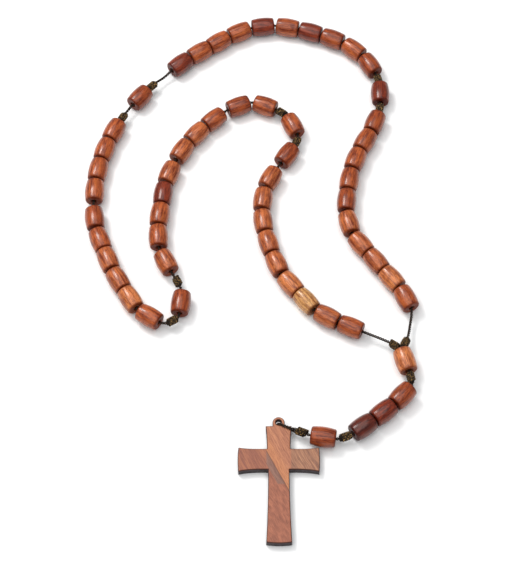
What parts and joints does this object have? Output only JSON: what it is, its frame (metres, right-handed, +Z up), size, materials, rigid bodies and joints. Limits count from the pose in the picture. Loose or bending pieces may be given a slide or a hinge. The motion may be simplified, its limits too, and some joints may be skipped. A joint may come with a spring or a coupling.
{
  "type": "rosary",
  "caption": "Five-decade prayer rosary: bored wooden barrel beads on a knotted cord loop, with a beaded pendant and a plain wooden cross.",
  "frame": {"origin": "on the resting surface, under the middle of the box around the beads and the cross", "axes": "+X to the right and +Y up the length of the laid-out rosary, from the foot of the cross to the top of the loop, as seen from above; +Z up from the resting surface"},
  "size_m": [0.14, 0.2514, 0.0084],
  "materials": {
    "bead_wood": "lacquered reddish-brown hardwood with a soft gloss",
    "cross_wood": "sanded tan-brown wood, satin, with dark scorched edges",
    "cord": "waxed twisted two-ply cord, near-black brown, matt"
  },
  "bodies": {
    "loop": {"loop_cord": "cord", "junction_bead": "bead_wood"},
    "pendant": {"pendant_cord": "cord"},
    "last_bead_strand": {"last_bead_cord": "cord"},
    "cross_strand": {"cross_cord": "cord"},
    "cross": {"cross": "cross_wood"},
    "decade_1_bead_01": {"decade_1_bead_01": "bead_wood"},
    "decade_1_bead_02": {"decade_1_bead_02": "bead_wood"},
    "decade_1_beads_03_04": {"decade_1_beads_03_04": "bead_wood"},
    "decade_1_bead_05": {"decade_1_bead_05": "bead_wood"},
    "decade_1_bead_06": {"decade_1_bead_06": "bead_wood"},
    "decade_1_bead_07": {"decade_1_bead_07": "bead_wood"},
    "decade_1_bead_08": {"decade_1_bead_08": "bead_wood"},
    "decade_1_bead_09": {"decade_1_bead_09": "bead_wood"},
    "decade_1_bead_10": {"decade_1_bead_10": "bead_wood"},
    "our_father_bead_1": {"our_father_bead_1": "bead_wood"},
    "decade_2_bead_01": {"decade_2_bead_01": "bead_wood"},
    "decade_2_bead_02": {"decade_2_bead_02": "bead_wood"},
    "decade_2_bead_03": {"decade_2_bead_03": "bead_wood"},
    "decade_2_bead_04": {"decade_2_bead_04": "bead_wood"},
    "decade_2_bead_05": {"decade_2_bead_05": "bead_wood"},
    "decade_2_bead_06": {"decade_2_bead_06": "bead_wood"},
    "decade_2_bead_07": {"decade_2_bead_07": "bead_wood"},
    "decade_2_beads_08_09": {"decade_2_beads_08_09": "bead_wood"},
    "decade_2_bead_10": {"decade_2_bead_10": "bead_wood"},
    "our_father_bead_2": {"our_father_bead_2": "bead_wood"},
    "decade_3_bead_01": {"decade_3_bead_01": "bead_wood"},
    "decade_3_bead_02": {"decade_3_bead_02": "bead_wood"},
    "decade_3_bead_03": {"decade_3_bead_03": "bead_wood"},
    "decade_3_bead_04": {"decade_3_bead_04": "bead_wood"},
    "decade_3_bead_05": {"decade_3_bead_05": "bead_wood"},
    "decade_3_beads_06_07": {"decade_3_beads_06_07": "bead_wood"},
    "decade_3_bead_08": {"decade_3_bead_08": "bead_wood"},
    "decade_3_bead_09": {"decade_3_bead_09": "bead_wood"},
    "decade_3_bead_10": {"decade_3_bead_10": "bead_wood"},
    "our_father_bead_3": {"our_father_bead_3": "bead_wood"},
    "decade_4_bead_01": {"decade_4_bead_01": "bead_wood"},
    "decade_4_bead_02": {"decade_4_bead_02": "bead_wood"},
    "decade_4_beads_03_04": {"decade_4_beads_03_04": "bead_wood"},
    "decade_4_bead_05": {"decade_4_bead_05": "bead_wood"},
    "decade_4_bead_06": {"decade_4_bead_06": "bead_wood"},
    "decade_4_bead_07": {"decade_4_bead_07": "bead_wood"},
    "decade_4_bead_08": {"decade_4_bead_08": "bead_wood"},
    "decade_4_bead_09": {"decade_4_bead_09": "bead_wood"},
    "decade_4_bead_10": {"decade_4_bead_10": "bead_wood"},
    "our_father_bead_4": {"our_father_bead_4": "bead_wood"},
    "decade_5_bead_01": {"decade_5_bead_01": "bead_wood"},
    "decade_5_bead_02": {"decade_5_bead_02": "bead_wood"},
    "decade_5_bead_03": {"decade_5_bead_03": "bead_wood"},
    "decade_5_bead_04": {"decade_5_bead_04": "bead_wood"},
    "decade_5_bead_05": {"decade_5_bead_05": "bead_wood"},
    "decade_5_bead_06": {"decade_5_bead_06": "bead_wood"},
    "decade_5_beads_07_08": {"decade_5_beads_07_08": "bead_wood"},
    "decade_5_bead_09": {"decade_5_bead_09": "bead_wood"},
    "decade_5_bead_10": {"decade_5_bead_10": "bead_wood"},
    "pendant_bead_1": {"pendant_bead_1": "bead_wood"},
    "pendant_bead_2": {"pendant_bead_2": "bead_wood"},
    "pendant_bead_3": {"pendant_bead_3": "bead_wood"},
    "pendant_bead_4": {"pendant_bead_4": "bead_wood"}
  },
  "joints": [
    {"name": "pendant_swing", "type": "hinge", "parent": "loop", "child": "pendant", "pos_m": [0.06553, -0.0578, 0.0042], "axis": [0, 0, 1], "range_deg": [-20, 35]},
    {"name": "last_bead_swing", "type": "hinge", "parent": "pendant", "child": "last_bead_strand", "pos_m": [0.03545, -0.08156, 0.0042], "axis": [0, 0, 1], "range_deg": [-25, 25]},
    {"name": "cross_strand_swing", "type": "hinge", "parent": "last_bead_strand", "child": "cross_strand", "pos_m": [0.02402, -0.07985, 0.0042], "axis": [0, 0, 1], "range_deg": [-25, 5]},
    {"name": "cross_swing", "type": "hinge", "parent": "cross_strand", "child": "cross", "pos_m": [0.01171, -0.07473, 0.0019], "axis": [0, 0, 1], "range_deg": [-50, 0]},
    {"name": "turn_decade_1_bead_01", "type": "hinge", "parent": "loop", "child": "decade_1_bead_01", "pos_m": [0.06469, -0.0187, 0.0042], "axis": [-0.4152, 0.9097, 0], "continuous": true},
    {"name": "turn_decade_1_bead_02", "type": "hinge", "parent": "loop", "child": "decade_1_bead_02", "pos_m": [0.05916, -0.00944, 0.0042], "axis": [-0.6021, 0.7984, 0], "continuous": true},
    {"name": "turn_decade_1_beads_03_04", "type": "hinge", "parent": "loop", "child": "decade_1_beads_03_04", "pos_m": [0.04994, 0.00299, 0.0042], "axis": [-0.5927, 0.8054, 0], "continuous": true},
    {"name": "turn_decade_1_bead_05", "type": "hinge", "parent": "loop", "child": "decade_1_bead_05", "pos_m": [0.0422, 0.0173, 0.0042], "axis": [-0.2324, 0.9726, 0], "continuous": true},
    {"name": "turn_decade_1_bead_06", "type": "hinge", "parent": "loop", "child": "decade_1_bead_06", "pos_m": [0.0414, 0.02837, 0.0042], "axis": [0.0893, 0.996, 0], "continuous": true},
    {"name": "turn_decade_1_bead_07", "type": "hinge", "parent": "loop", "child": "decade_1_bead_07", "pos_m": [0.04284, 0.03883, 0.0042], "axis": [0.1824, 0.9832, 0], "continuous": true},
    {"name": "turn_decade_1_bead_08", "type": "hinge", "parent": "loop", "child": "decade_1_bead_08", "pos_m": [0.04573, 0.04924, 0.0042], "axis": [0.351, 0.9364, 0], "continuous": true},
    {"name": "turn_decade_1_bead_09", "type": "hinge", "parent": "loop", "child": "decade_1_bead_09", "pos_m": [0.05015, 0.05895, 0.0042], "axis": [0.4742, 0.8804, 0], "continuous": true},
    {"name": "turn_decade_1_bead_10", "type": "hinge", "parent": "loop", "child": "decade_1_bead_10", "pos_m": [0.05461, 0.06864, 0.0042], "axis": [0.3598, 0.933, 0], "continuous": true},
    {"name": "turn_our_father_bead_1", "type": "hinge", "parent": "loop", "child": "our_father_bead_1", "pos_m": [0.05753, 0.08418, 0.0042], "axis": [0.0027, 1, 0], "continuous": true},
    {"name": "turn_decade_2_bead_01", "type": "hinge", "parent": "loop", "child": "decade_2_bead_01", "pos_m": [0.05351, 0.09961, 0.0042], "axis": [-0.486, 0.8739, 0], "continuous": true},
    {"name": "turn_decade_2_bead_02", "type": "hinge", "parent": "loop", "child": "decade_2_bead_02", "pos_m": [0.04655, 0.10832, 0.0042], "axis": [-0.7441, 0.6681, 0], "continuous": true},
    {"name": "turn_decade_2_bead_03", "type": "hinge", "parent": "loop", "child": "decade_2_bead_03", "pos_m": [0.03728, 0.11433, 0.0042], "axis": [-0.9124, 0.4093, 0], "continuous": true},
    {"name": "turn_decade_2_bead_04", "type": "hinge", "parent": "loop", "child": "decade_2_bead_04", "pos_m": [0.02737, 0.11813, 0.0042], "axis": [-0.9522, 0.3054, 0], "continuous": true},
    {"name": "turn_decade_2_bead_05", "type": "hinge", "parent": "loop", "child": "decade_2_bead_05", "pos_m": [0.01707, 0.1208, 0.0042], "axis": [-0.9808, 0.1952, 0], "continuous": true},
    {"name": "turn_decade_2_bead_06", "type": "hinge", "parent": "loop", "child": "decade_2_bead_06", "pos_m": [0.00593, 0.12118, 0.0042], "axis": [-0.992, -0.1261, 0], "continuous": true},
    {"name": "turn_decade_2_bead_07", "type": "hinge", "parent": "loop", "child": "decade_2_bead_07", "pos_m": [-0.00468, 0.11798, 0.0042], "axis": [-0.8972, -0.4416, 0], "continuous": true},
    {"name": "turn_decade_2_beads_08_09", "type": "hinge", "parent": "loop", "child": "decade_2_beads_08_09", "pos_m": [-0.01815, 0.10962, 0.0042], "axis": [-0.8224, -0.5689, 0], "continuous": true},
    {"name": "turn_decade_2_bead_10", "type": "hinge", "parent": "loop", "child": "decade_2_bead_10", "pos_m": [-0.03074, 0.10015, 0.0042], "axis": [-0.7495, -0.662, 0], "continuous": true},
    {"name": "turn_our_father_bead_2", "type": "hinge", "parent": "loop", "child": "our_father_bead_2", "pos_m": [-0.04806, 0.08223, 0.0042], "axis": [-0.6123, -0.7906, 0], "continuous": true},
    {"name": "turn_decade_3_bead_01", "type": "hinge", "parent": "loop", "child": "decade_3_bead_01", "pos_m": [-0.05867, 0.06434, 0.0042], "axis": [-0.4004, -0.9163, 0], "continuous": true},
    {"name": "turn_decade_3_bead_02", "type": "hinge", "parent": "loop", "child": "decade_3_bead_02", "pos_m": [-0.06231, 0.05431, 0.0042], "axis": [-0.2801, -0.96, 0], "continuous": true},
    {"name": "turn_decade_3_bead_03", "type": "hinge", "parent": "loop", "child": "decade_3_bead_03", "pos_m": [-0.06466, 0.04392, 0.0042], "axis": [-0.1604, -0.987, 0], "continuous": true},
    {"name": "slide_decade_3_bead_04", "type": "slide", "parent": "loop", "child": "decade_3_bead_04", "axis": [-0.014, -0.9999, 0], "range_m": [0, 0.0029]},
    {"name": "turn_decade_3_bead_05", "type": "hinge", "parent": "loop", "child": "decade_3_bead_05", "pos_m": [-0.06492, 0.01962, 0.0042], "axis": [0.1462, -0.9893, 0], "continuous": true},
    {"name": "turn_decade_3_beads_06_07", "type": "hinge", "parent": "loop", "child": "decade_3_beads_06_07", "pos_m": [-0.06024, 0.00426, 0.0042], "axis": [0.3641, -0.9314, 0], "continuous": true},
    {"name": "turn_decade_3_bead_08", "type": "hinge", "parent": "loop", "child": "decade_3_bead_08", "pos_m": [-0.05372, -0.01014, 0.0042], "axis": [0.5023, -0.8647, 0], "continuous": true},
    {"name": "turn_decade_3_bead_09", "type": "hinge", "parent": "loop", "child": "decade_3_bead_09", "pos_m": [-0.04839, -0.01905, 0.0042], "axis": [0.5253, -0.8509, 0], "continuous": true},
    {"name": "turn_decade_3_bead_10", "type": "hinge", "parent": "loop", "child": "decade_3_bead_10", "pos_m": [-0.04037, -0.02718, 0.0042], "axis": [0.8433, -0.5374, 0], "continuous": true},
    {"name": "turn_our_father_bead_3", "type": "hinge", "parent": "loop", "child": "our_father_bead_3", "pos_m": [-0.0277, -0.02081, 0.0042], "axis": [0.1025, 0.9947, 0], "continuous": true},
    {"name": "slide_decade_4_bead_01", "type": "slide", "parent": "loop", "child": "decade_4_bead_01", "axis": [-0.4462, 0.8949, 0], "range_m": [0, 0.0014]},
    {"name": "turn_decade_4_bead_02", "type": "hinge", "parent": "loop", "child": "decade_4_bead_02", "pos_m": [-0.03783, 0.0106, 0.0042], "axis": [-0.0683, 0.9977, 0], "continuous": true},
    {"name": "turn_decade_4_beads_03_04", "type": "hinge", "parent": "loop", "child": "decade_4_beads_03_04", "pos_m": [-0.03704, 0.02649, 0.0042], "axis": [0.109, 0.994, 0], "continuous": true},
    {"name": "slide_decade_4_bead_05", "type": "slide", "parent": "loop", "child": "decade_4_bead_05", "axis": [0.3317, 0.9434, 0], "range_m": [0, 0.0018]},
    {"name": "turn_decade_4_bead_06", "type": "hinge", "parent": "loop", "child": "decade_4_bead_06", "pos_m": [-0.02901, 0.05377, 0.0042], "axis": [0.4903, 0.8716, 0], "continuous": true},
    {"name": "turn_decade_4_bead_07", "type": "hinge", "parent": "loop", "child": "decade_4_bead_07", "pos_m": [-0.02287, 0.06266, 0.0042], "axis": [0.6406, 0.7678, 0], "continuous": true},
    {"name": "slide_decade_4_bead_08", "type": "slide", "parent": "loop", "child": "decade_4_bead_08", "axis": [0.7445, 0.6677, 0], "range_m": [0, 0.0017]},
    {"name": "turn_decade_4_bead_09", "type": "hinge", "parent": "loop", "child": "decade_4_bead_09", "pos_m": [-0.00475, 0.07749, 0.0042], "axis": [0.9207, 0.3903, 0], "continuous": true},
    {"name": "turn_decade_4_bead_10", "type": "hinge", "parent": "loop", "child": "decade_4_bead_10", "pos_m": [0.00698, 0.07759, 0.0042], "axis": [0.9314, -0.364, 0], "continuous": true},
    {"name": "turn_our_father_bead_4", "type": "hinge", "parent": "loop", "child": "our_father_bead_4", "pos_m": [0.01894, 0.06709, 0.0042], "axis": [0.4234, -0.9059, 0], "continuous": true},
    {"name": "slide_decade_5_bead_01", "type": "slide", "parent": "loop", "child": "decade_5_bead_01", "axis": [-0.552, -0.8338, 0], "range_m": [0, 0.0034]},
    {"name": "turn_decade_5_bead_02", "type": "hinge", "parent": "loop", "child": "decade_5_bead_02", "pos_m": [0.00912, 0.03971, 0.0042], "axis": [-0.452, -0.892, 0], "continuous": true},
    {"name": "turn_decade_5_bead_03", "type": "hinge", "parent": "loop", "child": "decade_5_bead_03", "pos_m": [0.00594, 0.02902, 0.0042], "axis": [-0.1116, -0.9938, 0], "continuous": true},
    {"name": "turn_decade_5_bead_04", "type": "hinge", "parent": "loop", "child": "decade_5_bead_04", "pos_m": [0.00611, 0.01806, 0.0042], "axis": [0.1425, -0.9898, 0], "continuous": true},
    {"name": "turn_decade_5_bead_05", "type": "hinge", "parent": "loop", "child": "decade_5_bead_05", "pos_m": [0.00833, 0.00763, 0.0042], "axis": [0.2711, -0.9625, 0], "continuous": true},
    {"name": "turn_decade_5_bead_06", "type": "hinge", "parent": "loop", "child": "decade_5_bead_06", "pos_m": [0.01176, -0.00242, 0.0042], "axis": [0.3747, -0.9271, 0], "continuous": true},
    {"name": "turn_decade_5_beads_07_08", "type": "hinge", "parent": "loop", "child": "decade_5_beads_07_08", "pos_m": [0.02055, -0.01602, 0.0042], "axis": [0.6229, -0.7823, 0], "continuous": true},
    {"name": "turn_decade_5_bead_09", "type": "hinge", "parent": "loop", "child": "decade_5_bead_09", "pos_m": [0.03219, -0.02721, 0.0042], "axis": [0.8688, -0.4952, 0], "continuous": true},
    {"name": "slide_decade_5_bead_10", "type": "slide", "parent": "loop", "child": "decade_5_bead_10", "axis": [0.9147, -0.4041, 0], "range_m": [0, 0.0086]},
    {"name": "turn_pendant_bead_1", "type": "hinge", "parent": "pendant", "child": "pendant_bead_1", "pos_m": [0.06131, -0.06278, 0.0042], "axis": [-0.6772, -0.7358, 0], "continuous": true},
    {"name": "turn_pendant_bead_2", "type": "hinge", "parent": "pendant", "child": "pendant_bead_2", "pos_m": [0.05358, -0.07002, 0.0042], "axis": [-0.777, -0.6295, 0], "continuous": true},
    {"name": "turn_pendant_bead_3", "type": "hinge", "parent": "pendant", "child": "pendant_bead_3", "pos_m": [0.04529, -0.07639, 0.0042], "axis": [-0.8083, -0.5887, 0], "continuous": true},
    {"name": "turn_pendant_bead_4", "type": "hinge", "parent": "last_bead_strand", "child": "pendant_bead_4", "pos_m": [0.02958, -0.08074, 0.0042], "axis": [-0.9879, 0.155, 0], "continuous": true}
  ]
}
